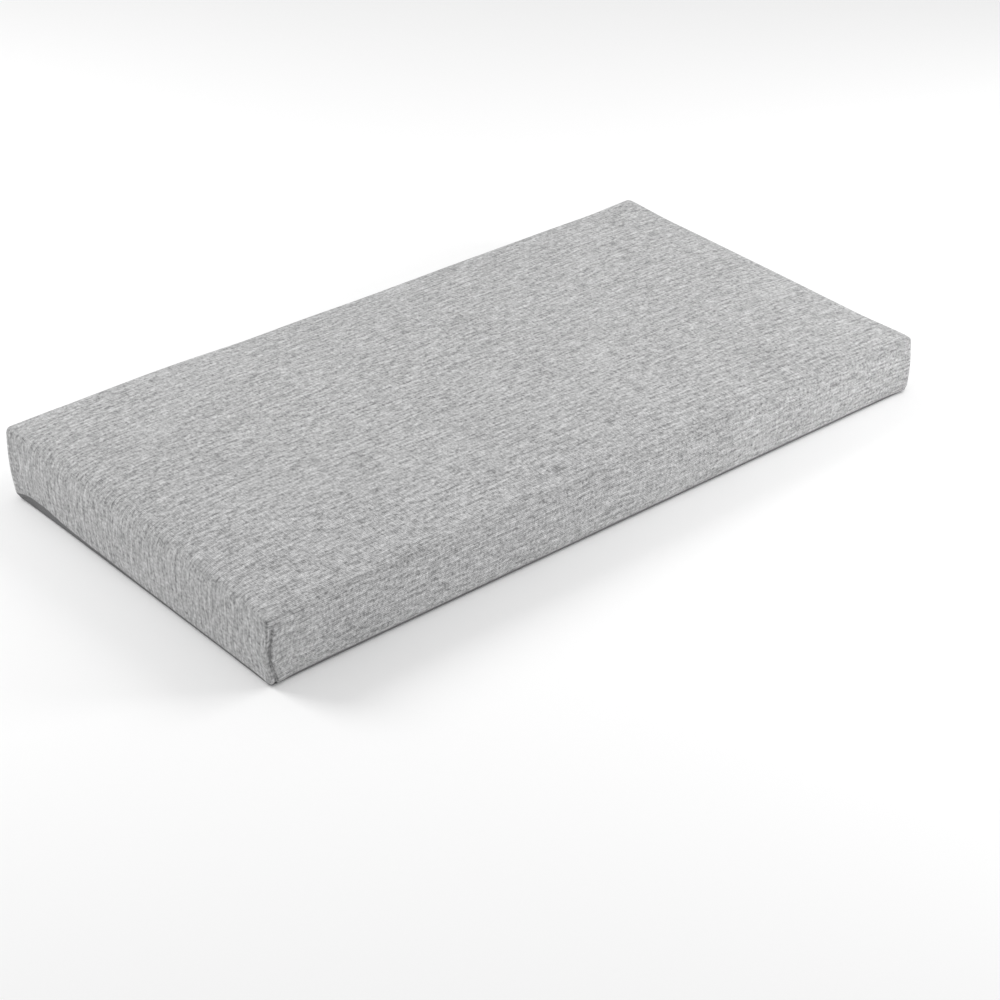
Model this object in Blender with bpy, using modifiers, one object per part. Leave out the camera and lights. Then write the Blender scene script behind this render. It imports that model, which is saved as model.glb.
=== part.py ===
"""Bench cushion: one filled pad in a cover whose top panel drops over all four sides.

Metres, +Z up. The origin is the middle of the flat underside. +X runs along the length to the
right end, -Y is the long front side, and -X is the left end.
"""

import bmesh
import bpy
from mathutils import Vector

# ---- driving dimensions ----
LENGTH = 0.800
WIDTH = 0.420
HEIGHT = 0.072              # top edge above the base, before any swell
CROWN = 0.0030              # how far the middle of the top stands above its edges
EDGE_SWELL = 0.0022         # how far the middle of each top edge stands above the corners
DRAW_IN_LONG = 0.0026       # how far the long sides pull in halfway between the corners
DRAW_IN_SHORT = 0.0018      # the same for the two ends
BASE_DRAW_IN = 0.2          # share of both that is left at the base, which lies flat
BELLY = 0.0016              # how far the sides bulge out halfway up

# ---- rounded edges ----
CORNER_RADIUS = 0.0060      # upright corners, and the top edges where they reach a corner
CORNER_REACH = 0.075        # distance from a corner over which a top edge reaches its own radius
TOP_RADIUS = {"front": 0.015, "back": 0.010, "left": 0.017, "right": 0.011}
BASE_RADIUS = 0.007

# ---- the four upright corners ----
# end: -1 left, +1 right; side: -1 front, +1 back; lift: height added to the top corner;
# reach: how far the corner stands out past the plane of its end; lean: how far it comes in at
# the base; bow: how far its seam strays at half height, plus towards the end.
CORNERS = [
    {"end": -1, "side": -1, "lift": 0.0005, "reach": 0.0000, "lean": 0.0022, "bow": 0.0045},
    {"end": -1, "side": 1, "lift": 0.0065, "reach": -0.0012, "lean": 0.0025, "bow": 0.0010},
    {"end": 1, "side": -1, "lift": -0.0065, "reach": 0.0012, "lean": 0.0005, "bow": -0.0010},
    {"end": 1, "side": 1, "lift": 0.0000, "reach": 0.0000, "lean": 0.0020, "bow": 0.0015},
]
SEAM_DEPTH = 0.0032         # sewn channel down each upright corner
SEAM_TOP_FADE = 0.014       # the channel runs out this far below the top
SEAM_CREASE = 0.6
BOW_REACH = 0.060           # how far around the corner the cloth follows a bowed seam
LEAN_POWER = 1.6            # above 1 the lean gathers near the base
CROWN_POWER = 4             # above 2 the crown is flat in the middle and falls at the edges

# ---- lower edge of the left end, where it has ridden up off the surface ----
HEM_LIFT = 0.0070
HEM_FULL = (0.020, 0.090)   # distance from the back over which the lift is greatest
HEM_END = 0.230             # distance from the back where the edge is down again
HEM_DEPTH = 0.045           # how far under the cushion the lift reaches

# ---- soft hollows pressed into the filling ----
# x, y: middle; reach_x, reach_y: half sizes; depth: how deep, minus for a swell; all on the top.
HOLLOWS = [
    {"x": -0.160, "y": 0.030, "reach_x": 0.130, "reach_y": 0.085, "depth": 0.0012},
    {"x": -0.195, "y": -0.110, "reach_x": 0.080, "reach_y": 0.055, "depth": -0.0012},
    {"x": -0.270, "y": -0.196, "reach_x": 0.035, "reach_y": 0.030, "depth": 0.0014},
    {"x": -0.050, "y": -0.198, "reach_x": 0.045, "reach_y": 0.030, "depth": 0.0012},
    {"x": 0.135, "y": -0.196, "reach_x": 0.050, "reach_y": 0.030, "depth": 0.0014},
    {"x": 0.060, "y": 0.190, "reach_x": 0.100, "reach_y": 0.035, "depth": 0.0009},
]

# ---- where the cage is cut, as distances in from each edge ----
EDGE_CUTS = (0.005, 0.012, 0.024, 0.045)
LENGTH_STEPS = 11
WIDTH_STEPS = 5
HEIGHT_CUTS = (0.005, 0.012, 0.024, 0.038, 0.052, 0.063)

HALF_X = LENGTH / 2
HALF_Y = WIDTH / 2
ON_FACE = 1e-6              # how near a face of the uncut box counts as on it


def smooth(value):
    """Ease from 0 to 1 as value goes from 0 to 1."""
    t = min(max(value, 0.0), 1.0)
    return t * t * (3 - 2 * t)


def clamp(value, low, high):
    return min(max(value, low), high)


def arch(height):
    """0 at the base and at the top, 1 halfway up."""
    return 4 * height * (1 - height)


def cuts_across(half, steps):
    """Places of the cage's cuts along one axis, closer together near the two edges."""
    inner = half - EDGE_CUTS[-1]
    places = [-inner + 2 * inner * i / steps for i in range(steps + 1)]
    for distance in EDGE_CUTS[:-1]:
        places += [-half + distance, half - distance]
    return sorted(places)


def cut_cage():
    """A box of the cushion's size, cut by planes into the rows and columns of its cage."""
    mesh = bmesh.new()
    bmesh.ops.create_cube(mesh, size=1.0)
    bmesh.ops.scale(mesh, vec=(LENGTH, WIDTH, HEIGHT), verts=mesh.verts)
    bmesh.ops.translate(mesh, vec=(0, 0, HEIGHT / 2), verts=mesh.verts)
    planes = [((x, 0, 0), (1, 0, 0)) for x in cuts_across(HALF_X, LENGTH_STEPS)]
    planes += [((0, y, 0), (0, 1, 0)) for y in cuts_across(HALF_Y, WIDTH_STEPS)]
    planes += [((0, 0, z), (0, 0, 1)) for z in HEIGHT_CUTS]
    for place, normal in planes:
        everything = mesh.verts[:] + mesh.edges[:] + mesh.faces[:]
        bmesh.ops.bisect_plane(mesh, geom=everything, plane_co=place, plane_no=normal)
    return mesh


def corner_value(p, column):
    """A value of the corner table, carried evenly over the plan between the four corners."""
    total = 0.0
    for corner in CORNERS:
        share_x = (1 + corner["end"] * p.x / HALF_X) / 2
        share_y = (1 + corner["side"] * p.y / HALF_Y) / 2
        total += corner[column] * share_x * share_y
    return total


def slide_round_corner(p):
    """Move a point of a side along the cushion's girth, so that a corner seam can bow."""
    for corner in CORNERS:
        gap_x = HALF_X - corner["end"] * p.x
        gap_y = HALF_Y - corner["side"] * p.y
        along = gap_y - gap_x
        if min(gap_x, gap_y) > ON_FACE or abs(along) > BOW_REACH:
            continue
        near = smooth(1 - abs(along) / BOW_REACH)
        along += corner["bow"] * arch(p.z / HEIGHT) * near
        p.x = corner["end"] * (HALF_X - max(-along, 0.0))
        p.y = corner["side"] * (HALF_Y - max(along, 0.0))
    return p


def top_radius(p):
    """Radius of the top edge beside a point: small at the corners, its side's own between."""
    gap_x = HALF_X - abs(p.x)
    gap_y = HALF_Y - abs(p.y)
    if gap_y < gap_x:
        full = TOP_RADIUS["front"] if p.y < 0 else TOP_RADIUS["back"]
    else:
        full = TOP_RADIUS["left"] if p.x < 0 else TOP_RADIUS["right"]
    share = smooth(max(gap_x, gap_y) / CORNER_REACH)
    return CORNER_RADIUS + (full - CORNER_RADIUS) * share


def base_radius(p):
    """Radius of the turned-in lower edge beside a point."""
    share = smooth(max(HALF_X - abs(p.x), HALF_Y - abs(p.y)) / CORNER_REACH)
    return CORNER_RADIUS + (BASE_RADIUS - CORNER_RADIUS) * share


def round_edges(p):
    """Bring a point of the box onto its rounded form."""
    radius = top_radius(p) if p.z > HEIGHT / 2 else base_radius(p)
    core = Vector((
        clamp(p.x, radius - HALF_X, HALF_X - radius),
        clamp(p.y, radius - HALF_Y, HALF_Y - radius),
        clamp(p.z, radius, HEIGHT - radius),
    ))
    out = p - core
    if out.length > radius:
        out.length = radius
    return core + out


def draw_in(p):
    """Pull the sides in between the corners, lean them in to the base and let them bulge."""
    u = p.x / HALF_X
    v = p.y / HALF_Y
    height = clamp(p.z / HEIGHT, 0.0, 1.0)
    lean = corner_value(p, "lean") * (1 - height) ** LEAN_POWER
    bulge = BELLY * arch(height)
    pull = BASE_DRAW_IN + (1 - BASE_DRAW_IN) * height
    move_x = bulge - DRAW_IN_SHORT * pull * (1 - v * v) - lean + corner_value(p, "reach")
    move_y = bulge - DRAW_IN_LONG * pull * (1 - u * u) - lean
    p.x += move_x * u
    p.y += move_y * v
    return p


def swell_top(p, u, v):
    """Raise the top by its crown, its edges' swell and its corners' lifts, and press hollows."""
    height = clamp(p.z / HEIGHT, 0.0, 1.0)
    rise = CROWN * (1 - u ** CROWN_POWER) * (1 - v ** CROWN_POWER)
    rise += EDGE_SWELL * (1 - u * u * v * v)
    rise += corner_value(p, "lift")
    for hollow in HOLLOWS:
        away_x = (p.x - hollow["x"]) / hollow["reach_x"]
        away_y = (p.y - hollow["y"]) / hollow["reach_y"]
        rise -= hollow["depth"] * smooth(1 - (away_x ** 2 + away_y ** 2) ** 0.5)
    p.z += rise * height
    return p


def lift_hem(p):
    """Raise the lower edge of the left end near its back corner."""
    from_back = HALF_Y - p.y
    from_left = HALF_X + p.x
    along = smooth((from_back + HEM_FULL[0]) / (2 * HEM_FULL[0]))
    along *= smooth((HEM_END - from_back) / (HEM_END - HEM_FULL[1]))
    inward = smooth(1 - from_left / HEM_DEPTH)
    low = smooth(1 - p.z / (HEIGHT / 2))
    p.z += HEM_LIFT * along * inward * low
    return p


def centre_plan(mesh):
    """Put the middle of the plan over the origin."""
    across = [vert.co.x for vert in mesh.verts]
    deep = [vert.co.y for vert in mesh.verts]
    middle = ((min(across) + max(across)) / 2, (min(deep) + max(deep)) / 2)
    bmesh.ops.translate(mesh, vec=(-middle[0], -middle[1], 0), verts=mesh.verts)


def shape_cushion(mesh):
    """Turn the cut box into the cushion's cage, and sharpen the four upright seams."""
    seam_points = []
    for vert in mesh.verts:
        u = vert.co.x / HALF_X
        v = vert.co.y / HALF_Y
        from_top = HEIGHT - vert.co.z
        p = round_edges(slide_round_corner(vert.co.copy()))
        if min(abs(u), abs(v)) > 1 - ON_FACE:
            inward = Vector((-u, -v, 0)).normalized()
            p += inward * SEAM_DEPTH * smooth(from_top / SEAM_TOP_FADE)
            seam_points.append(vert)
        p = draw_in(p)
        p = swell_top(p, u, v)
        vert.co = lift_hem(p)
    centre_plan(mesh)
    crease = mesh.edges.layers.float.new("crease_edge")
    for vert in seam_points:
        for edge in vert.link_edges:
            if edge.other_vert(vert) in seam_points:
                edge[crease] = SEAM_CREASE
    return mesh


def cloth_material():
    material = bpy.data.materials.new("grey_cloth")
    material.use_nodes = True
    shader = material.node_tree.nodes["Principled BSDF"]
    shader.inputs["Base Color"].default_value = (0.42, 0.42, 0.425, 1.0)
    shader.inputs["Roughness"].default_value = 0.92
    shader.inputs["Metallic"].default_value = 0.0
    return material


def main():
    for old in list(bpy.data.objects):
        bpy.data.objects.remove(old)
    collection = bpy.data.collections.new("bench_cushion")
    bpy.context.scene.collection.children.link(collection)

    cage = shape_cushion(cut_cage())
    mesh = bpy.data.meshes.new("cushion")
    cage.to_mesh(mesh)
    cage.free()
    mesh.materials.append(cloth_material())
    mesh.shade_smooth()

    cushion = bpy.data.objects.new("cushion", mesh)
    collection.objects.link(cushion)
    soften = cushion.modifiers.new("soften", "SUBSURF")
    soften.levels = 1
    soften.render_levels = soften.levels


main()
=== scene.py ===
# %% [markdown]
# # A bench cushion
# This piece is a long seat cushion: a block of foam in a loose cover of grey, linen-look cloth.
# The top and the four sides are one cut of cloth. It folds down over the block, and the only
# seams that show are the four short mitred ones, where two sides meet at an upright corner.
# The lesson cuts that cloth, sews it, fills it by simulation, creases it and weaves its threads.

# %% Load the frame
import math
import random

import bmesh
import bpy
import numpy as np
from mathutils import Matrix, Vector, noise


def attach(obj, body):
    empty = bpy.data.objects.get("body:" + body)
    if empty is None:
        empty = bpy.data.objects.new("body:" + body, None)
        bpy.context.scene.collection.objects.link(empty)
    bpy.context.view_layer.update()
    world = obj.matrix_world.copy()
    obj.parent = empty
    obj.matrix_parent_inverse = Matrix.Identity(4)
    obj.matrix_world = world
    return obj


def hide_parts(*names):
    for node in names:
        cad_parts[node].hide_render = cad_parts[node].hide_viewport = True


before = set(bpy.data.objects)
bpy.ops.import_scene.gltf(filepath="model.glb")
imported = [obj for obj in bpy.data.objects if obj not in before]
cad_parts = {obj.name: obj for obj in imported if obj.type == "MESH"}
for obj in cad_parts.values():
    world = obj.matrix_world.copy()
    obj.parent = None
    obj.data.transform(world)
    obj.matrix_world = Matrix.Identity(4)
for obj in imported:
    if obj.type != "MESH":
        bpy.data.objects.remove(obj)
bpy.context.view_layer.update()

# %% [markdown]
# ## The camera
# A product picture of a cushion is taken from above one corner, so that the top and two sides
# show. The camera could be aimed with a Track To constraint. Here its three directions are
# worked out from its azimuth, its elevation and a small roll, which keeps the view exact.

# %% Set up the camera
AZIMUTH = math.radians(40.19)       # turned from looking along +Y towards +X
ELEVATION = math.radians(31.34)     # looking down by this much
ROLL = math.radians(-0.39)
DISTANCE = 2.4863                   # from the middle of the underside, along the view
OFFSET_RIGHT = 0.0241               # how far the view's middle lies right of that point
OFFSET_UP = -0.0569
LENS = 90.90                        # millimetres, on a 36 mm wide sensor
SENSOR = 36.0


def camera_axes():
    """Right, up and forward directions of the camera."""
    forward = Vector((
        math.sin(AZIMUTH) * math.cos(ELEVATION),
        math.cos(AZIMUTH) * math.cos(ELEVATION),
        -math.sin(ELEVATION),
    ))
    level = Vector((math.cos(AZIMUTH), -math.sin(AZIMUTH), 0))
    upward = level.cross(forward)
    right = level * math.cos(ROLL) + upward * math.sin(ROLL)
    up = upward * math.cos(ROLL) - level * math.sin(ROLL)
    return right, up, forward


def place_camera():
    right, up, forward = camera_axes()
    camera_data = bpy.data.cameras.new("view")
    camera_data.lens = LENS
    camera_data.sensor_width = SENSOR
    camera = bpy.data.objects.new("view", camera_data)
    bpy.context.scene.collection.objects.link(camera)
    turn = Matrix((right, up, -forward)).transposed().to_4x4()
    eye = right * OFFSET_RIGHT + up * OFFSET_UP - forward * DISTANCE
    camera.matrix_world = Matrix.Translation(eye) @ turn
    bpy.context.scene.camera = camera
    return camera


camera = place_camera()
print("camera at", [round(v, 3) for v in camera.matrix_world.translation])

# %% [markdown]
# ## The studio
# A pale floor and soft light suit plain grey cloth: hard light would make every thread cast a
# shadow. A large lamp behind the left end lights the top and that end, two smaller ones at the
# right brighten the front right corner, and the pale world fills in the rest.

# %% Lay the floor and hang the lights
FLOOR_SIZE = 8.0
FLOOR_GREY = 0.93
WORLD_STRENGTH = 0.62
LAMPS = [
    {"name": "back_left", "size": 1.0, "power": 19.6, "at": (-1.0, 1.3, 1.3), "aim": (0.0, 0.0, 0.0)},
    {"name": "right_overhead", "size": 0.8, "power": 6.6, "at": (1.0, -0.5, 1.2), "aim": (0.2, 0.0, 0.0)},
    {"name": "front_right", "size": 0.6, "power": 10.2, "at": (1.2, -1.2, 0.55), "aim": (0.2, -0.15, 0.03)},
]


def plain_material(name, grey, roughness):
    material = bpy.data.materials.new(name)
    material.use_nodes = True
    shader = material.node_tree.nodes["Principled BSDF"]
    shader.inputs["Base Color"].default_value = (grey, grey, grey, 1)
    shader.inputs["Roughness"].default_value = roughness
    return material


def lay_floor():
    mesh = bmesh.new()
    bmesh.ops.create_grid(mesh, x_segments=1, y_segments=1, size=FLOOR_SIZE / 2)
    data = bpy.data.meshes.new("floor")
    mesh.to_mesh(data)
    mesh.free()
    data.materials.append(plain_material("pale_floor", FLOOR_GREY, 0.8))
    floor = bpy.data.objects.new("floor", data)
    bpy.context.scene.collection.objects.link(floor)
    return floor


def hang_lamp(lamp):
    light = bpy.data.lights.new(lamp["name"], "AREA")
    light.shape = "DISK"
    light.size = lamp["size"]
    light.energy = lamp["power"]
    holder = bpy.data.objects.new(lamp["name"], light)
    bpy.context.scene.collection.objects.link(holder)
    holder.location = lamp["at"]
    holder.rotation_euler = (Vector(lamp["aim"]) - Vector(lamp["at"])).to_track_quat("-Z", "Y").to_euler()
    return holder


def light_world():
    world = bpy.data.worlds.new("studio")
    world.use_nodes = True
    background = world.node_tree.nodes["Background"]
    background.inputs["Color"].default_value = (1, 1, 1, 1)
    background.inputs["Strength"].default_value = WORLD_STRENGTH
    bpy.context.scene.world = world


lay_floor()
light_world()
for lamp in LAMPS:
    hang_lamp(lamp)
bpy.context.scene.view_settings.view_transform = "Standard"
print("lamps:", [lamp["name"] for lamp in LAMPS])

# %% [markdown]
# ## Cutting the cloth
# The cover starts as a box of the cushion's size. It could be a remeshed blob, but then no
# thread could follow it. Cutting a cube by planes gives an even grid of small squares, whose
# rows run the way the threads do. Each point remembers its place on the uncut box, and a UV map
# in metres unfolds the sides outwards from the top, just as the cloth was cut.

# %% Cut a box into a fine cage
LENGTH = 0.800
WIDTH = 0.4186
HEIGHT = 0.0711                     # top edge above the base, before any swell
CELL = 0.0078                       # side of a cage square away from the edges
EDGE_CUTS = (0.0018, 0.004, 0.007, 0.011, 0.016, 0.022, 0.029, 0.036)
HEIGHT_CUTS = (
    0.0018, 0.004, 0.007, 0.011, 0.015, 0.019, 0.023, 0.027, 0.031, 0.035,
    0.039, 0.043, 0.047, 0.051, 0.055, 0.059, 0.0625, 0.0655, 0.068, 0.0702,
)
BASE_UV_SHIFT = 2.0                 # the base panel's own place on the cloth
HALF = np.array((LENGTH / 2, WIDTH / 2))
ON_FACE = 1e-5


def cuts_across(half):
    """Places of the cuts along one axis, closer together near its two ends."""
    inner = half - EDGE_CUTS[-1]
    steps = round(2 * inner / CELL)
    places = [-inner + 2 * inner * i / steps for i in range(steps + 1)]
    for distance in EDGE_CUTS[:-1]:
        places += [distance - half, half - distance]
    return places


def unfold(face, point):
    """Where a point of the box lies on the flat cloth, in metres."""
    if face.normal.z < -0.5:
        return point.x + BASE_UV_SHIFT, point.y
    drop = HEIGHT - point.z
    along = point.x + face.normal.x * drop
    across = point.y + face.normal.y * drop
    return along, across


def cut_box():
    mesh = bmesh.new()
    bmesh.ops.create_cube(mesh, size=1.0)
    bmesh.ops.scale(mesh, vec=(LENGTH, WIDTH, HEIGHT), verts=mesh.verts)
    bmesh.ops.translate(mesh, vec=(0, 0, HEIGHT / 2), verts=mesh.verts)
    planes = [((x, 0, 0), (1, 0, 0)) for x in cuts_across(LENGTH / 2)]
    planes += [((0, y, 0), (0, 1, 0)) for y in cuts_across(WIDTH / 2)]
    planes += [((0, 0, z), (0, 0, 1)) for z in HEIGHT_CUTS]
    for place, normal in planes:
        everything = mesh.verts[:] + mesh.edges[:] + mesh.faces[:]
        bmesh.ops.bisect_plane(mesh, geom=everything, plane_co=place, plane_no=normal)
    mesh.normal_update()
    cloth = mesh.loops.layers.uv.new("cloth")
    flat = mesh.verts.layers.float_vector.new("flat_place")
    for vert in mesh.verts:
        vert[flat] = vert.co
    for face in mesh.faces:
        face.material_index = 1 if face.normal.z < -0.5 else 0
        for loop in face.loops:
            loop[cloth].uv = unfold(face, loop.vert.co)
    return mesh


def make_object(name, mesh):
    data = bpy.data.meshes.new(name)
    mesh.to_mesh(data)
    mesh.free()
    made = bpy.data.objects.new(name, data)
    bpy.context.scene.collection.objects.link(made)
    return made


cover = make_object("cushion_cover", cut_box())
print("cage squares:", len(cover.data.polygons))

# %% [markdown]
# ## The filled form
# A foam block has soft edges, sides that pull in between the corners and a slightly crowned
# top. A Bevel modifier rounds every edge alike, but here each side has its own radius, the
# corners stay sharper than the edges and no two corners are the same height. So the form is a
# few plain formulas that move every point of the box at once.

# %% Work out the filled form
CROWN = 0.0030                      # how far the middle of the top stands above its edges
EDGE_SWELL = 0.0022                 # how far the middle of a top edge stands above its corners
DRAW_IN_LONG = 0.0026               # how far the long sides pull in between the corners
DRAW_IN_SHORT = 0.0018
BASE_DRAW_IN = 0.2                  # share of both that is left at the base
BELLY = 0.0016                      # how far the sides bulge halfway up
CORNER_RADIUS = 0.006
CORNER_REACH = 0.075                # distance over which an edge reaches its own radius
TOP_RADIUS = {"front": 0.015, "back": 0.010, "left": 0.017, "right": 0.011}
BASE_RADIUS = 0.007
PATH_REACH = 0.060                  # how far round a corner the cloth follows its stray seam
PATH_HEIGHTS = (0.0, 0.12, 0.32, 0.58, 0.80, 1.0)
PATH_DEGREE = 4
LEAN_POWER = 1.6
CROWN_POWER = 4
CORNERS = [
    {"end": -1, "side": -1, "lift": 0.0001, "reach": 0.0000, "lean": 0.0022},
    {"end": -1, "side": 1, "lift": 0.0081, "reach": -0.0014, "lean": 0.0020},
    {"end": 1, "side": -1, "lift": -0.0089, "reach": 0.0014, "lean": 0.0003},
    {"end": 1, "side": 1, "lift": 0.0006, "reach": 0.0000, "lean": 0.0020},
]
# how far each seam strays round the corner at the heights above, plus towards the end
SEAM_PATHS = [
    (-0.0050, -0.0060, -0.0030, -0.0020, -0.0050, 0.0000),
    (0.0010, 0.0012, 0.0008, 0.0004, 0.0002, 0.0000),
    (-0.0020, -0.0024, -0.0012, -0.0006, -0.0004, 0.0000),
    (0.0005, 0.0010, 0.0014, 0.0012, 0.0006, 0.0000),
]


def smooth(value):
    """Ease from 0 to 1 as value goes from 0 to 1."""
    t = np.clip(value, 0.0, 1.0)
    return t * t * (3 - 2 * t)


def arch(height):
    """0 at the base and at the top, 1 halfway up."""
    return 4 * height * (1 - height)


def corner_value(p, column):
    """A value of the corner table, carried evenly over the plan between the corners."""
    total = 0.0
    for corner in CORNERS:
        share_x = (1 + corner["end"] * p[:, 0] / HALF[0]) / 2
        share_y = (1 + corner["side"] * p[:, 1] / HALF[1]) / 2
        total = total + corner[column] * share_x * share_y
    return total


def girth_from(corner, p):
    """Distance round the sides from a corner of the box, plus on its long side, and a mask of the sides."""
    gap_x = HALF[0] - corner["end"] * p[:, 0]
    gap_y = HALF[1] - corner["side"] * p[:, 1]
    return gap_x - gap_y, np.minimum(gap_x, gap_y) < ON_FACE


def slide_round_corners(p):
    """Move the sides along the girth near each corner, so that its seam strays."""
    p = p.copy()
    for corner, path in zip(CORNERS, SEAM_PATHS):
        girth, on_side = girth_from(corner, p)
        near = on_side & (np.abs(girth) < PATH_REACH)
        stray = np.polyval(np.polyfit(PATH_HEIGHTS, path, PATH_DEGREE), p[:, 2] / HEIGHT)
        push = stray * smooth(1 - np.abs(girth) / PATH_REACH)
        moved = girth - push
        p[near, 0] = corner["end"] * (HALF[0] - np.maximum(moved, 0))[near]
        p[near, 1] = corner["side"] * (HALF[1] - np.maximum(-moved, 0))[near]
    return p


def edge_radius(p):
    """Radius of the nearest lengthways edge beside each point."""
    gap_x = HALF[0] - np.abs(p[:, 0])
    gap_y = HALF[1] - np.abs(p[:, 1])
    long_side = np.where(p[:, 1] < 0, TOP_RADIUS["front"], TOP_RADIUS["back"])
    short_side = np.where(p[:, 0] < 0, TOP_RADIUS["left"], TOP_RADIUS["right"])
    full = np.where(gap_y < gap_x, long_side, short_side)
    full = np.where(p[:, 2] > HEIGHT / 2, full, BASE_RADIUS)
    return CORNER_RADIUS + (full - CORNER_RADIUS) * smooth(np.maximum(gap_x, gap_y) / CORNER_REACH)


def round_edges(p):
    radius = edge_radius(p)[:, None]
    low = np.hstack((radius - HALF[0], radius - HALF[1], radius))
    high = np.hstack((HALF[0] - radius, HALF[1] - radius, HEIGHT - radius))
    core = np.clip(p, low, high)
    out = p - core
    distance = np.linalg.norm(out, axis=1, keepdims=True)
    return core + out * np.minimum(1, radius / np.maximum(distance, ON_FACE))


def draw_in(p):
    """Pull the sides in between the corners, lean them to the base and let them bulge."""
    u = p[:, 0] / HALF[0]
    v = p[:, 1] / HALF[1]
    height = np.clip(p[:, 2] / HEIGHT, 0, 1)
    lean = corner_value(p, "lean") * (1 - height) ** LEAN_POWER
    bulge = BELLY * arch(height)
    pull = BASE_DRAW_IN + (1 - BASE_DRAW_IN) * height
    p[:, 0] += (bulge - DRAW_IN_SHORT * pull * (1 - v * v) - lean + corner_value(p, "reach")) * u
    p[:, 1] += (bulge - DRAW_IN_LONG * pull * (1 - u * u) - lean) * v
    return p


def swell_top(p, u, v):
    """Raise the top by its crown, its edges' swell and its corners' lifts."""
    height = np.clip(p[:, 2] / HEIGHT, 0, 1)
    rise = CROWN * (1 - u ** CROWN_POWER) * (1 - v ** CROWN_POWER)
    rise += EDGE_SWELL * (1 - u * u * v * v)
    rise += corner_value(p, "lift")
    p[:, 2] += rise * height
    return p


def filled_form(flat):
    """Where each point of the uncut box goes on the filled cushion."""
    p = draw_in(round_edges(slide_round_corners(flat)))
    return swell_top(p, flat[:, 0] / HALF[0], flat[:, 1] / HALF[1])


def read_points(data, name="position"):
    values = np.empty(len(data.vertices) * 3, np.float32)
    data.attributes[name].data.foreach_get("vector", values)
    return values.reshape(-1, 3).astype(float)


def write_points(data, points):
    data.attributes["position"].data.foreach_set("vector", points.astype(np.float32).ravel())
    data.update()


def read_normals(data):
    values = np.empty(len(data.vertices) * 3, np.float32)
    data.vertex_normals.foreach_get("vector", values)
    return values.reshape(-1, 3).astype(float)


flat = read_points(cover.data, "flat_place")
form = filled_form(flat)
print("form size, mm:", np.round((form.max(0) - form.min(0)) * 1000, 1))

# %% [markdown]
# ## Sewing and filling
# Cloth is sewn slack and the filling stretches it tight, which is why panels swell between
# their seams. The Cloth simulation does the same with pressure. The panels start a little too
# small. Seams and base are pinned, and a soft pin everywhere else acts as the foam: firm along
# the block's edges, yielding in the middle of a panel. The movement is capped as well.

# %% Work out what holds the cover
SLACK = 0.0020                      # how much smaller than the form the panels start
SWELL_CAP = 0.0032                  # the furthest that the filling may push a point
PRESSURE = 4.0
FRAMES = 20
SEAM_PIN = 0.0012                   # points this near a seam are held by it
PANEL_HOLD = 0.15                   # pin weights: 0 is free, 1 is fixed
EDGE_HOLD = 0.32
EDGE_REACH = 0.028                  # how far the firm edge of the block reaches into a panel
CLOTH_SETTINGS = {
    "pin_stiffness": 1.0, "use_pressure": True, "uniform_pressure_force": PRESSURE,
    "tension_stiffness": 20, "compression_stiffness": 20, "shear_stiffness": 8,
    "bending_stiffness": 1.5, "quality": 6,
}


def seam_distance(flat):
    """Distance round the girth to the nearest corner seam, large on the top and base."""
    nearest = np.full(len(flat), 1.0)
    for corner in CORNERS:
        girth, on_side = girth_from(corner, flat)
        nearest = np.where(on_side, np.minimum(nearest, np.abs(girth)), nearest)
    return nearest


def edge_closeness(flat):
    """1 along the top edges of the block and its upright corners, 0 well inside a panel."""
    gap = HALF - np.abs(flat[:, :2])
    drop = HEIGHT - flat[:, 2]
    distance = np.where(drop < ON_FACE, gap.min(1), np.minimum(drop, seam_distance(flat)))
    return smooth(1 - distance / EDGE_REACH)


def pin_weights(flat):
    """1 at the corner seams and all over the base, and the foam's softer hold elsewhere."""
    sewn = (seam_distance(flat) < SEAM_PIN) & (flat[:, 2] < HEIGHT - ON_FACE)
    sewn |= flat[:, 2] < ON_FACE
    foam = PANEL_HOLD + (EDGE_HOLD - PANEL_HOLD) * edge_closeness(flat)
    return np.where(sewn, 1.0, foam)


hold = pin_weights(flat)
print("points held by seams or base:", int((hold == 1).sum()), "of", len(hold))

# %% Fill the cover by simulation
def shrink_panels(cover, form, flat, hold):
    write_points(cover.data, form)
    slack = SLACK * (1 - edge_closeness(flat)) * (hold < 1)
    return form - read_normals(cover.data) * slack[:, None]


def add_cloth(cover, hold):
    group = cover.vertex_groups.new(name="hold")
    for index, weight in enumerate(hold):
        group.add([index], float(weight), "REPLACE")
    cloth = cover.modifiers.new("filling", "CLOTH")
    cloth.settings.vertex_group_mass = group.name
    for name, value in CLOTH_SETTINGS.items():
        setattr(cloth.settings, name, value)
    cloth.settings.effector_weights.gravity = 0
    cloth.point_cache.frame_start = 1
    cloth.point_cache.frame_end = FRAMES
    return cloth, group


def fill(cover, form, flat, hold):
    """Simulate the filling and keep the capped result."""
    start = shrink_panels(cover, form, flat, hold)
    write_points(cover.data, start)
    cloth, group = add_cloth(cover, hold)
    scene = bpy.context.scene
    for number in range(1, FRAMES + 1):
        scene.frame_set(number)
    posed = cover.evaluated_get(bpy.context.evaluated_depsgraph_get())
    move = read_points(posed.data) - start
    cover.modifiers.remove(cloth)
    cover.vertex_groups.remove(group)
    scene.frame_set(1)
    length = np.linalg.norm(move, axis=1, keepdims=True)
    print("filling moves points by up to", round(float(length.max()) * 1000, 1), "mm, mean",
          round(float(length.mean()) * 1000, 2))
    return start + move * np.minimum(1, SWELL_CAP / np.maximum(length, ON_FACE))


filled = fill(cover, form, flat, hold)
write_points(cover.data, filled)

# %% [markdown]
# ## Smoothing the cage
# One level of Subdivision Surface turns the cage into a smooth skin, with squares of about
# four millimetres. It is applied here, because the seams and creases that follow are narrower
# than a cage square and need the finer points.

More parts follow.
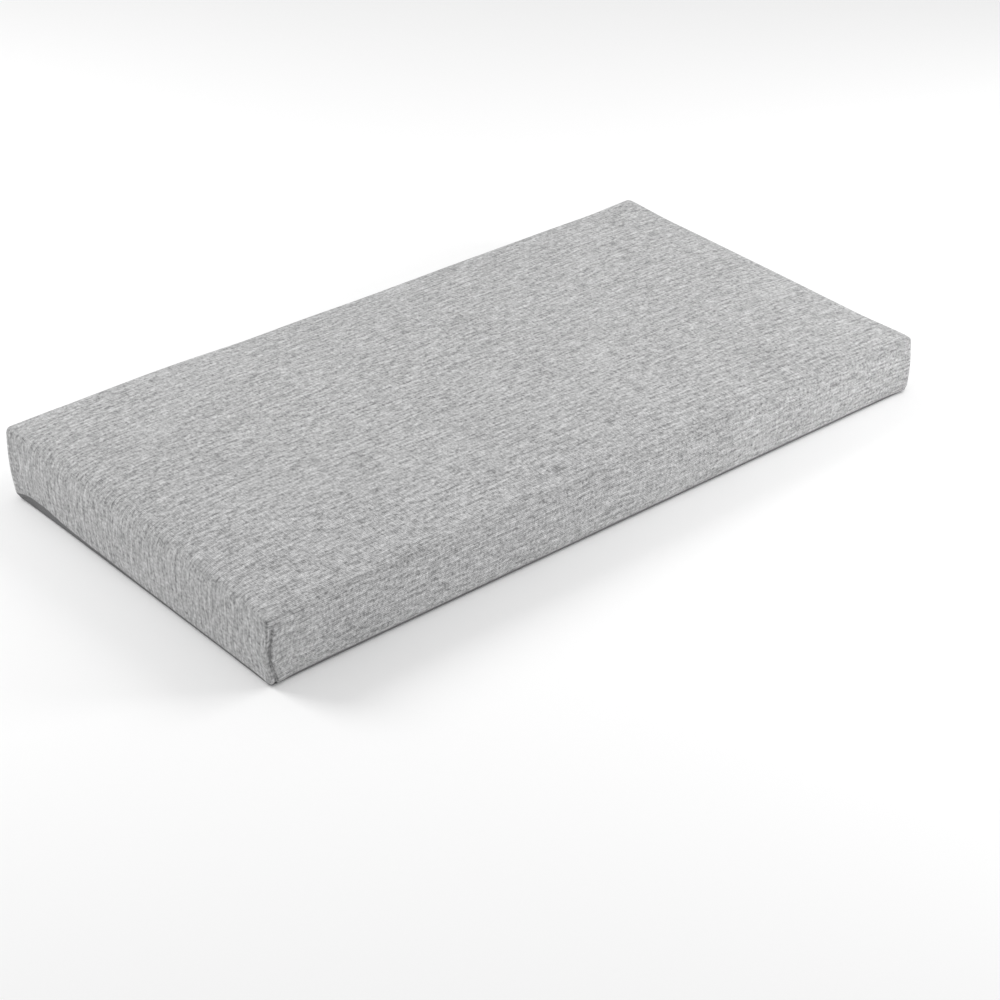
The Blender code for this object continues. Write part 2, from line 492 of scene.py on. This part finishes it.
# %% Subdivide and apply
def apply_subdivision(cover):
    finer = cover.modifiers.new("finer", "SUBSURF")
    finer.levels = 1
    finer.render_levels = finer.levels
    graph = bpy.context.evaluated_depsgraph_get()
    data = bpy.data.meshes.new_from_object(
        cover.evaluated_get(graph), preserve_all_data_layers=True, depsgraph=graph)
    cover.modifiers.clear()
    old = cover.data
    cover.data = data
    bpy.data.meshes.remove(old)
    data.name = cover.name


apply_subdivision(cover)
print("triangles:", 2 * len(cover.data.polygons))

# %% [markdown]
# ## The corner seams
# Each upright corner is a mitre, sewn inside out, so all that shows is a narrow channel where
# the two sides turn in to their stitching. A Boolean cut would leave hard edges. Pushing the
# points inwards along a narrow bell curve keeps the cloth in one piece and its edges soft.

# %% Draw in the four corner seams
SEAM_DEPTH = 0.0042                 # how far a seam lies inside the corner
SEAM_WIDTH = 0.0020                 # half width of its channel
SEAM_TOP_FADE = 0.020               # the channel runs out this far below the top
HEM_SEAM_DEPTH = 0.0010             # the seam round the base panel
HEM_SEAM_WIDTH = 0.0016


def bell(distance, width):
    """1 in the middle of a line, falling to nothing a few widths away."""
    return np.exp(-(distance / width) ** 2)


def sew_corners(points, flat):
    depth = SEAM_DEPTH * bell(seam_distance(flat), SEAM_WIDTH)
    depth *= smooth((HEIGHT - flat[:, 2]) / SEAM_TOP_FADE)
    inward = -np.column_stack((np.sign(flat[:, 0]), np.sign(flat[:, 1]))) / math.sqrt(2)
    points[:, :2] += inward * depth[:, None]
    return points


def distance_to_rim(flat):
    """Distance over the cloth to the edge where the sides meet the base panel."""
    gap = np.minimum(HALF[0] - np.abs(flat[:, 0]), HALF[1] - np.abs(flat[:, 1]))
    return np.hypot(np.maximum(gap, 0), flat[:, 2])


def sew_base(points, flat, normals):
    depth = HEM_SEAM_DEPTH * bell(distance_to_rim(flat), HEM_SEAM_WIDTH)
    return points - normals * depth[:, None]


flat = read_points(cover.data, "flat_place")
points = sew_corners(read_points(cover.data), flat)
points = sew_base(points, flat, read_normals(cover.data))
write_points(cover.data, points)
print("seam points:", int((seam_distance(flat) < SEAM_WIDTH).sum()))

# %% [markdown]
# ## Creases and hollows
# Nobody makes a cushion perfectly smooth: cloth drags from its seams, folds over the edges and
# sinks where the foam gives. Sculpting would do this by hand. A table of lines on the unfolded
# cloth does the same, can be read, and each line can cross an edge as a real crease does.

# %% Lay out the creases
HOLLOWS = [                         # soft dips in the top; a minus depth is a swell
    {"x": -0.160, "y": 0.030, "reach_x": 0.130, "reach_y": 0.085, "depth": 0.0012},
    {"x": -0.195, "y": -0.110, "reach_x": 0.080, "reach_y": 0.055, "depth": -0.0012},
    {"x": -0.270, "y": -0.196, "reach_x": 0.035, "reach_y": 0.030, "depth": 0.0014},
    {"x": -0.050, "y": -0.198, "reach_x": 0.045, "reach_y": 0.030, "depth": 0.0012},
    {"x": 0.135, "y": -0.196, "reach_x": 0.050, "reach_y": 0.030, "depth": 0.0014},
    {"x": 0.060, "y": 0.190, "reach_x": 0.100, "reach_y": 0.035, "depth": 0.0009},
    {"x": -0.245, "y": 0.205, "reach_x": 0.140, "reach_y": 0.070, "depth": -0.0024},
    {"x": -0.400, "y": 0.210, "reach_x": 0.055, "reach_y": 0.060, "depth": 0.0016},
]
CREASE_ENDS = 0.45                  # share of its depth that a crease keeps at its ends
# start and end on the unfolded cloth; bow: how far the middle strays to the line's left
CREASES = [
    {"start": (-0.366, -0.250), "end": (-0.348, -0.248), "bow": 0.000, "width": 0.0022, "depth": 0.0013},
    {"start": (-0.390, -0.233), "end": (-0.300, -0.243), "bow": 0.002, "width": 0.0032, "depth": 0.0009},
    {"start": (-0.388, -0.252), "end": (-0.340, -0.254), "bow": 0.001, "width": 0.0030, "depth": 0.0005},
    {"start": (-0.290, -0.223), "end": (-0.284, -0.225), "bow": 0.000, "width": 0.0070, "depth": 0.0008},
    {"start": (-0.297, -0.238), "end": (-0.291, -0.240), "bow": 0.000, "width": 0.0060, "depth": 0.0007},
    {"start": (-0.088, -0.249), "end": (-0.076, -0.249), "bow": 0.000, "width": 0.0060, "depth": 0.0007},
    {"start": (-0.212, -0.220), "end": (-0.138, -0.228), "bow": 0.002, "width": 0.0050, "depth": 0.0011},
    {"start": (-0.010, -0.223), "end": (0.078, -0.224), "bow": 0.002, "width": 0.0050, "depth": 0.0011},
    {"start": (0.100, -0.220), "end": (0.312, -0.225), "bow": 0.001, "width": 0.0030, "depth": 0.0005},
    {"start": (0.236, -0.2125), "end": (0.306, -0.2145), "bow": 0.000, "width": 0.0040, "depth": -0.0005},
    {"start": (-0.422, -0.069), "end": (-0.393, -0.092), "bow": -0.002, "width": 0.0032, "depth": 0.0014},
    {"start": (-0.427, 0.043), "end": (-0.394, 0.027), "bow": -0.003, "width": 0.0032, "depth": 0.0014},
    {"start": (-0.409, 0.076), "end": (-0.405, 0.080), "bow": 0.000, "width": 0.0050, "depth": 0.0007},
    {"start": (-0.258, -0.166), "end": (-0.152, -0.104), "bow": 0.009, "width": 0.0070, "depth": 0.0005},
    {"start": (0.432, -0.130), "end": (0.420, -0.070), "bow": 0.004, "width": 0.0045, "depth": 0.0008},
    {"start": (0.440, 0.060), "end": (0.422, 0.092), "bow": 0.003, "width": 0.0045, "depth": 0.0008},
    {"start": (-0.230, 0.224), "end": (-0.130, 0.226), "bow": 0.003, "width": 0.0060, "depth": 0.0008},
    {"start": (0.020, 0.240), "end": (0.120, 0.232), "bow": -0.004, "width": 0.0060, "depth": 0.0007},
    {"start": (0.250, 0.222), "end": (0.310, 0.224), "bow": 0.002, "width": 0.0050, "depth": 0.0007},
]


def cloth_place(flat):
    """Where each point lies on the unfolded cloth, and far off it for the base."""
    gap_x = HALF[0] - np.abs(flat[:, 0])
    gap_y = HALF[1] - np.abs(flat[:, 1])
    drop = HEIGHT - flat[:, 2]
    place = flat[:, :2].copy()
    on_end = (drop > ON_FACE) & (gap_x < ON_FACE)
    on_side = (drop > ON_FACE) & (gap_x >= ON_FACE) & (gap_y < ON_FACE)
    place[on_end, 0] += (np.sign(flat[:, 0]) * drop)[on_end]
    place[on_side, 1] += (np.sign(flat[:, 1]) * drop)[on_side]
    place[flat[:, 2] < ON_FACE] += BASE_UV_SHIFT
    return place


def crease_depth(place, crease):
    """How far a bowed, tapering line presses each point in."""
    start = np.array(crease["start"])
    run = np.array(crease["end"]) - start
    length = np.linalg.norm(run)
    heading = run / length
    sideways = np.array((-heading[1], heading[0]))
    offset = place - start
    t = np.clip(offset @ heading / length, 0, 1)
    across = offset @ sideways - crease["bow"] * arch(t)
    beyond = offset @ heading - t * length
    taper = CREASE_ENDS + (1 - CREASE_ENDS) * smooth(arch(t))
    return crease["depth"] * bell(np.hypot(across, beyond), crease["width"]) * taper


def hollow_depth(place, hollow):
    away = np.hypot((place[:, 0] - hollow["x"]) / hollow["reach_x"],
                    (place[:, 1] - hollow["y"]) / hollow["reach_y"])
    return hollow["depth"] * smooth(1 - away)


print("creases:", len(CREASES), "and hollows:", len(HOLLOWS))

# %% [markdown]
# ## Drag lines and lumps
# A sewn corner drags fine lines into the cloth beside it, and a foam block is never quite even
# under its cover. Both are irregular, so they come from a seeded random generator and a noise
# field, which give the same cushion on every run.

# %% Add drag lines at the seams, then press everything in
DRAG_SEED = 11
DRAGS_PER_SIDE = 3
FIRST_DRAG = 0.014                  # drop from the top to the first line of a side
DRAG_STEP = 0.016
LUMP_SCALE = 11.0                   # lumps of about nine centimetres
LUMP_HEIGHT = 0.0005
EASE_IN = 0.012                     # distance from a seam or rim over which lumps fade in


def drag_lines():
    """Short lines that run away from each corner seam, on both of its sides."""
    chance = random.Random(DRAG_SEED)
    lines = []
    for corner in CORNERS:
        for on_end in (True, False):
            for number in range(DRAGS_PER_SIDE):
                drop = FIRST_DRAG + DRAG_STEP * number + chance.uniform(0, 0.008)
                near = 0.006 + chance.uniform(0, 0.006)
                far = near + chance.uniform(0.014, 0.042)
                slope = chance.uniform(-0.006, 0.002)
                places = []
                for back, down in ((near, drop), (far, drop + slope)):
                    along = HALF[0] + down if on_end else HALF[0] - back
                    across = HALF[1] - back if on_end else HALF[1] + down
                    places.append((corner["end"] * along, corner["side"] * across))
                lines.append({"start": places[0], "end": places[1], "bow": 0.0,
                              "width": chance.uniform(0.0022, 0.0036),
                              "depth": chance.uniform(0.0003, 0.0006)})
    return lines


def lumps(points):
    return np.array([noise.noise(Vector(p) * LUMP_SCALE) for p in points]) * LUMP_HEIGHT


def press(points, flat, normals):
    place = cloth_place(flat)
    depth = sum(crease_depth(place, crease) for crease in CREASES + drag_lines())
    ease = smooth(seam_distance(flat) / EASE_IN) * smooth(distance_to_rim(flat) / EASE_IN)
    depth = depth * ease + lumps(points) * ease * (flat[:, 2] > ON_FACE)
    pressed = points - normals * depth[:, None]
    hollow = sum(hollow_depth(flat, hollow) for hollow in HOLLOWS)
    pressed[:, 2] -= hollow * np.clip(flat[:, 2] / HEIGHT, 0, 1)
    return pressed, depth


points, depth = press(read_points(cover.data), flat, read_normals(cover.data))
write_points(cover.data, points)
print("pressed in by up to", round(float(depth.max()) * 1000, 2), "mm")

# %% [markdown]
# ## The hem
# The cover ends in a hem round the base. Below the hem the cover cloth takes one dark grey, partly
# the base cloth's own grey and partly painted shade: a thin line where the cushion meets the floor.
# Near the back of the left end the cover has ridden up, so that the line widens to a strip, with the
# painted shade of the gap under the hem. The hem's height is a list of places along that end. Below
# it the cloth is tucked in a little, and the cushion still rests on its whole outline.

# %% Ride up the hem and rest the base
HEM_HEIGHT = 0.0018                 # the usual height of the hem above the base, and of the painted shade line below it
# distance from the back along the left end, and the height of the hem there, which the painted strip below
# it reaches
HEM_LINE = (
    (0.000, 0.0050), (0.013, 0.0085), (0.023, 0.0108), (0.036, 0.0124), (0.062, 0.0122), (0.079, 0.0100),
    (0.095, 0.0078), (0.177, 0.0060), (0.210, 0.0042), (0.260, 0.0026), (0.330, HEM_HEIGHT),
)
HEM_TURN = 0.030                    # the hem comes down this far round the back left corner
TUCK_DEPTH = 0.0022
HEM_TOP = max(height for place, height in HEM_LINE)


def hem_height(flat):
    places, heights = zip(*HEM_LINE)
    along_end = np.interp(HALF[1] - flat[:, 1], places, heights)
    from_end = smooth(1 - (flat[:, 0] + HALF[0]) / HEM_TURN)
    return HEM_HEIGHT + (along_end - HEM_HEIGHT) * from_end


def tuck_hem(p, flat):
    """Pull the cloth in below the hem where that has ridden up."""
    hem = hem_height(flat)
    share = (hem - HEM_HEIGHT) / HEM_TOP
    p[:, 0] += TUCK_DEPTH * share * arch(np.clip(flat[:, 2] / hem, 0, 1))
    return p


def settle(p):
    """Middle of the plan over the origin, and nothing below the surface it rests on."""
    middle = (p[:, :2].max(0) + p[:, :2].min(0)) / 2
    p[:, :2] -= middle
    p[:, 2] = np.maximum(p[:, 2], 0)
    return p


points = settle(tuck_hem(read_points(cover.data), flat))
write_points(cover.data, points)
cover.data.shade_smooth()
print("cushion size, mm:", np.round((points.max(0) - points.min(0)) * 1000, 1))

# %% [markdown]
# ## A seam map
# The material should pucker the cloth beside a seam, and below the hem paint the base cloth's grey
# together with painted shade, so it has to know how near they are. An attribute could carry that,
# but a second UV map also travels with an exported model. It stores the distance round the girth
# to the nearest seam, and the height above the hem.

# %% Store the distances to the seams and the hem
def write_seam_map(cover, flat):
    data = cover.data
    corners = np.empty(len(data.loops), np.int32)
    data.loops.foreach_get("vertex_index", corners)
    # the height above the hem marks where the painted base grey and shade begin
    values = np.column_stack((seam_distance(flat), flat[:, 2] - hem_height(flat)))
    seam_map = data.uv_layers.new(name="seam")
    seam_map.uv.foreach_set("vector", values[corners].astype(np.float32).ravel())
    data.uv_layers["cloth"].active = True
    data.uv_layers["cloth"].active_render = True


write_seam_map(cover, flat)
print("maps:", [layer.name for layer in cover.data.uv_layers])

# %% [markdown]
# ## Weaving the threads
# The cloth is a plain weave of uneven, mottled yarn: thick rows run along the length, finer
# columns cross them, and each yarn changes its grey every few millimetres. An image would blur
# up close, so a node group works the threads out from the unfolded cloth map. Two materials
# use it, so its pitches and greys are inputs.

# %% Node helpers
def join(tree, kind, *sources, output=0, **settings):
    """Add a node, feed its inputs in order from sockets or numbers, and return one output."""
    node = tree.nodes.new(kind)
    for name, value in settings.items():
        setattr(node, name, value)
    for socket, source in zip(node.inputs, sources):
        if source is None:
            continue
        if isinstance(source, bpy.types.NodeSocket):
            tree.links.new(source, socket)
        else:
            socket.default_value = source
    return node.outputs[output]


def maths(tree, operation, *sources):
    return join(tree, "ShaderNodeMath", *sources, operation=operation)


def vector_maths(tree, operation, *sources):
    return join(tree, "ShaderNodeVectorMath", *sources, operation=operation)


def spread(tree, value, low, high, to_low=0.0, to_high=1.0):
    """Stretch the range low to high of a value onto another range, and clip it."""
    return join(tree, "ShaderNodeMapRange", value, low, high, to_low, to_high)


def scale_by(tree, vector, amount):
    return join(tree, "ShaderNodeVectorMath", vector, None, None, amount, operation="SCALE")


def speckle(tree, along, across, layer, detail=1.0):
    """Smooth noise at a place counted in grain sizes; each layer reads its own patch of noise."""
    along = maths(tree, "ADD", along, layer)
    across = maths(tree, "ADD", across, layer * 1.7)
    place = join(tree, "ShaderNodeCombineXYZ", along, across)
    return join(tree, "ShaderNodeTexNoise", place, None, 1.0, detail, 0.5, noise_dimensions="2D")


def new_group(name, inputs, outputs):
    tree = bpy.data.node_groups.new(name, "ShaderNodeTree")
    for title, kind, value in inputs:
        socket = tree.interface.new_socket(name=title, in_out="INPUT", socket_type=kind)
        if value is not None:
            socket.default_value = value
    for title, kind in outputs:
        tree.interface.new_socket(name=title, in_out="OUTPUT", socket_type=kind)
    start = tree.nodes.new("NodeGroupInput")
    end = tree.nodes.new("NodeGroupOutput")
    return tree, start.outputs, end.inputs


print("node helpers ready")

# %% [markdown]
# ### The weave group
# In a plain weave each row passes over one column and under the next. Two sine waves multiplied
# together change sign from crossing to crossing, just as the yarns change places. Noise that is
# read by whole row or column numbers gives every yarn its own run of light and dark greys.

# %% Build the weave group
WAVER_SCALE = 24.0                  # the threads stray about once in four centimetres
WAVER_REACH = 0.0022
ROW_RUN = 0.009                     # a row keeps one grey for about this length
COLUMN_RUN = 0.006
YARN_SHARE = 0.45
FLECK_SIZE = (0.0046, 0.0030)
FLECK_SHARE = 0.35
# painted shade in the gaps between yarns and painted light on their crowns
GAP_PAINTED_SHADE = 0.3
FLECK_RANGE = (0.60, 0.74)          # noise between these turns into a dark fleck
MIDDLE_HEIGHT = 0.6                 # yarn below this is painted darker, above it paler
ON_TOP_BLUR = 0.12
MOTTLE_LAYER = (11.3, 4.1)          # the first patch of noise for mottles, and the step to the next
# mottling, from single fibres to a drift over the whole cloth: size along, size across, share
MOTTLES = {
    "grain": (0.0028, 0.0028, 0.95),
    "streaks": (0.013, 0.0029, 1.05),
    "long_streaks": (0.060, 0.0031, 0.66),
    "cross_dashes": (0.0028, 0.0070, 0.62),
    "fibres": (0.0012, 0.0004, 0.25),
    "drift": (0.110, 0.110, 0.12),
}


def weave_group():
    tree, given, result = new_group(
        "weave",
        inputs=[
            ("Place", "NodeSocketVector", None),
            ("Row pitch", "NodeSocketFloat", 0.002),
            ("Column pitch", "NodeSocketFloat", 0.0016),
            ("Row share", "NodeSocketFloat", 0.25),
            ("Mottle", "NodeSocketFloat", 1.0),
            ("Dark yarn", "NodeSocketColor", (0.2, 0.2, 0.2, 1)),
            ("Pale yarn", "NodeSocketColor", (0.6, 0.6, 0.6, 1)),
        ],
        outputs=[
            ("Colour", "NodeSocketColor"),
            ("Height", "NodeSocketFloat"),
            ("Roughness", "NodeSocketFloat"),
        ],
    )

    # threads that stray a little from straight lines
    waver = join(tree, "ShaderNodeTexNoise", given["Place"], None, WAVER_SCALE, 1.0, output=1)
    waver = vector_maths(tree, "SUBTRACT", waver, (0.5, 0.5, 0.5))
    place = vector_maths(tree, "ADD", given["Place"], scale_by(tree, waver, WAVER_REACH))
    along, across = join(tree, "ShaderNodeSeparateXYZ", place).node.outputs[:2]

    # rows, columns and which of them lies on top
    rows = maths(tree, "DIVIDE", across, given["Row pitch"])
    columns = maths(tree, "DIVIDE", along, given["Column pitch"])
    row_number = maths(tree, "FLOOR", rows)
    column_number = maths(tree, "FLOOR", columns)
    row_wave = maths(tree, "SINE", maths(tree, "MULTIPLY", rows, math.pi))
    column_wave = maths(tree, "SINE", maths(tree, "MULTIPLY", columns, math.pi))
    crossing = maths(tree, "MULTIPLY_ADD", row_wave, column_wave, given["Row share"])
    row_on_top = spread(tree, crossing, -ON_TOP_BLUR, ON_TOP_BLUR)

    # round yarns that dip where they cross
    row_round = maths(tree, "ABSOLUTE", row_wave)
    column_round = maths(tree, "ABSOLUTE", column_wave)
    row_height = maths(tree, "MULTIPLY", row_round, maths(tree, "MULTIPLY_ADD", column_round, 0.4, 0.6))
    column_height = maths(tree, "MULTIPLY", column_round, maths(tree, "MULTIPLY_ADD", row_round, 0.4, 0.45))
    height = blend(tree, row_on_top, column_height, row_height)

    # every yarn has its own run of greys
    row_tone = speckle(
        tree, maths(tree, "DIVIDE", along, ROW_RUN), maths(tree, "MULTIPLY", row_number, 1.73), 3.1)
    column_tone = speckle(
        tree, maths(tree, "MULTIPLY", column_number, 1.61), maths(tree, "DIVIDE", across, COLUMN_RUN), 7.7)
    yarn = blend(tree, row_on_top, column_tone, row_tone)
    fleck_along = maths(tree, "DIVIDE", along, FLECK_SIZE[0])
    fleck_across = maths(tree, "DIVIDE", across, FLECK_SIZE[1])
    fleck = spread(tree, speckle(tree, fleck_along, fleck_across, 19.7), *FLECK_RANGE)

    # add the tones up around a middle grey
    total = maths(tree, "MULTIPLY", maths(tree, "SUBTRACT", yarn, 0.5), YARN_SHARE)
    total = maths(tree, "MULTIPLY_ADD", maths(tree, "SUBTRACT", 0.1, fleck), FLECK_SHARE, total)
    # painted shade in the dips between yarns and painted light on the yarn crowns, by yarn height
    total = maths(tree, "MULTIPLY_ADD", maths(tree, "SUBTRACT", height, MIDDLE_HEIGHT), GAP_PAINTED_SHADE, total)
    for layer, (run, width, share) in enumerate(MOTTLES.values()):
        mottle_along = maths(tree, "DIVIDE", along, run)
        mottle_across = maths(tree, "DIVIDE", across, width)
        mottle = speckle(tree, mottle_along, mottle_across, MOTTLE_LAYER[0] + MOTTLE_LAYER[1] * layer)
        total = maths(tree, "MULTIPLY_ADD", maths(tree, "SUBTRACT", mottle, 0.5), share, total)
    # the Mottle input scales this painted shade as well as the mottles
    level = maths(tree, "MULTIPLY_ADD", total, given["Mottle"], 0.5)
    colour = mix_colours(tree, level, given["Dark yarn"], given["Pale yarn"])
    rough = spread(tree, height, 0.0, 1.0, 0.98, 0.84)

    tree.links.new(colour, result["Colour"])
    tree.links.new(height, result["Height"])
    tree.links.new(rough, result["Roughness"])
    return tree


def blend(tree, share, first, second):
    """First value where share is 0, second where it is 1."""
    return maths(tree, "MULTIPLY_ADD", maths(tree, "SUBTRACT", second, first), share, first)


def mix_colours(tree, share, first, second):
    return join(tree, "ShaderNodeMix", share, None, None, None, None, None, first, second,
                output=2, data_type="RGBA")


weave = weave_group()
print("weave group nodes:", len(weave.nodes))

# %% [markdown]
# ### The two cloths
# The cover cloth gets the full mottled weave, a faint pucker beside its seams and a soft sheen
# for its hairy yarns. The base panel shows little, so it is a plainer, finer cloth. Below the hem
# the cover cloth is painted a dark grey, the base cloth's grey together with painted shade where
# the cushion meets the floor and in the gap under the ridden-up hem. Painting that line by the seam
# map keeps it sharper than the mesh's own squares.
# Sheen and specular are the same all over, so they are set on the shader itself.

# %% Make the cover cloth and the base cloth
PUCKER_PITCH = 0.0052
PUCKER_REACH = 0.016
WOBBLE_SIZE = (0.02, 0.009)         # the ridges stray over these lengths, away from and along a seam
WOBBLE_TURN = 5.0
HEM_BLUR = 0.0004
SPECULAR_LEVEL = 0.2
SHEEN_ROUGHNESS = 0.5
COVER = {
    "row_pitch": 0.0020, "column_pitch": 0.0016, "row_share": 0.28, "mottle": 0.86,
    # the last colour is painted below the hem: the base cloth's grey, darkened further as painted shade
    "dark": (0.215, 0.215, 0.217, 1), "pale": (0.675, 0.675, 0.677, 1), "under": (0.15, 0.15, 0.153, 1),
    "weave_relief": 0.45, "pucker_relief": 0.9, "sheen": 0.2,
}
BASE = {
    "row_pitch": 0.0012, "column_pitch": 0.0012, "row_share": 0.0, "mottle": 0.35,
    "dark": (0.10, 0.10, 0.103, 1), "pale": (0.22, 0.22, 0.223, 1),
    "weave_relief": 0.25, "pucker_relief": 0.0, "sheen": 0.05,
}
RELIEF_UNIT = 0.001                 # metres of relief for a height of 1


def read_map(tree, name):
    return join(tree, "ShaderNodeUVMap", uv_map=name)


def pucker(tree):
    """Small ridges that run out from a seam and die away."""
    from_seam, rise = join(tree, "ShaderNodeSeparateXYZ", read_map(tree, "seam")).node.outputs[:2]
    wobble_along = maths(tree, "DIVIDE", from_seam, WOBBLE_SIZE[0])
    wobble_up = maths(tree, "DIVIDE", rise, WOBBLE_SIZE[1])
    wobble = maths(tree, "MULTIPLY", speckle(tree, wobble_along, wobble_up, 41.0), WOBBLE_TURN)
    turns = maths(tree, "MULTIPLY_ADD", rise, 2 * math.pi / PUCKER_PITCH, wobble)
    fade = maths(tree, "EXPONENT", maths(tree, "DIVIDE", from_seam, -PUCKER_REACH))
    return maths(tree, "MULTIPLY", maths(tree, "SINE", turns), fade)


def paint_base_and_shade_below_hem(tree, colour, under):
    """Below the hem, change the colour to a dark grey: the base cloth's grey with painted shade."""
    rise = join(tree, "ShaderNodeSeparateXYZ", read_map(tree, "seam"), output=1)
    return mix_colours(tree, spread(tree, rise, -HEM_BLUR, HEM_BLUR, 1.0, 0.0), colour, under)


def cloth_material(name, look):
    material = bpy.data.materials.new(name)
    material.use_nodes = True
    tree = material.node_tree
    shader = tree.nodes["Principled BSDF"]
    threads = tree.nodes.new("ShaderNodeGroup")
    threads.node_tree = weave
    tree.links.new(read_map(tree, "cloth"), threads.inputs["Place"])
    threads.inputs["Row pitch"].default_value = look["row_pitch"]
    threads.inputs["Column pitch"].default_value = look["column_pitch"]
    threads.inputs["Row share"].default_value = look["row_share"]
    threads.inputs["Mottle"].default_value = look["mottle"]
    threads.inputs["Dark yarn"].default_value = look["dark"]
    threads.inputs["Pale yarn"].default_value = look["pale"]
    relief = maths(tree, "MULTIPLY", threads.outputs["Height"], look["weave_relief"])
    if look["pucker_relief"] > 0:
        relief = maths(tree, "MULTIPLY_ADD", pucker(tree), look["pucker_relief"], relief)
    bump = tree.nodes.new("ShaderNodeBump")
    bump.inputs["Distance"].default_value = RELIEF_UNIT
    bump.inputs["Strength"].default_value = 1.0
    tree.links.new(relief, bump.inputs["Height"])
    colour = threads.outputs["Colour"]
    # paint the base cloth's grey and painted shade below the hem
    if "under" in look:
        colour = paint_base_and_shade_below_hem(tree, colour, look["under"])
    tree.links.new(colour, shader.inputs["Base Color"])
    tree.links.new(threads.outputs["Roughness"], shader.inputs["Roughness"])
    tree.links.new(bump.outputs["Normal"], shader.inputs["Normal"])
    shader.inputs["Specular IOR Level"].default_value = SPECULAR_LEVEL
    shader.inputs["Sheen Weight"].default_value = look["sheen"]
    shader.inputs["Sheen Roughness"].default_value = SHEEN_ROUGHNESS
    return material


cover.data.materials.clear()
cover.data.materials.append(cloth_material("grey_cover_cloth", COVER))
cover.data.materials.append(cloth_material("grey_base_cloth", BASE))
print("materials:", [material.name for material in cover.data.materials])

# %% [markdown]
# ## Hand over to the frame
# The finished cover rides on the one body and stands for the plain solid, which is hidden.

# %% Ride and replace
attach(cover, "root")
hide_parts("cushion")
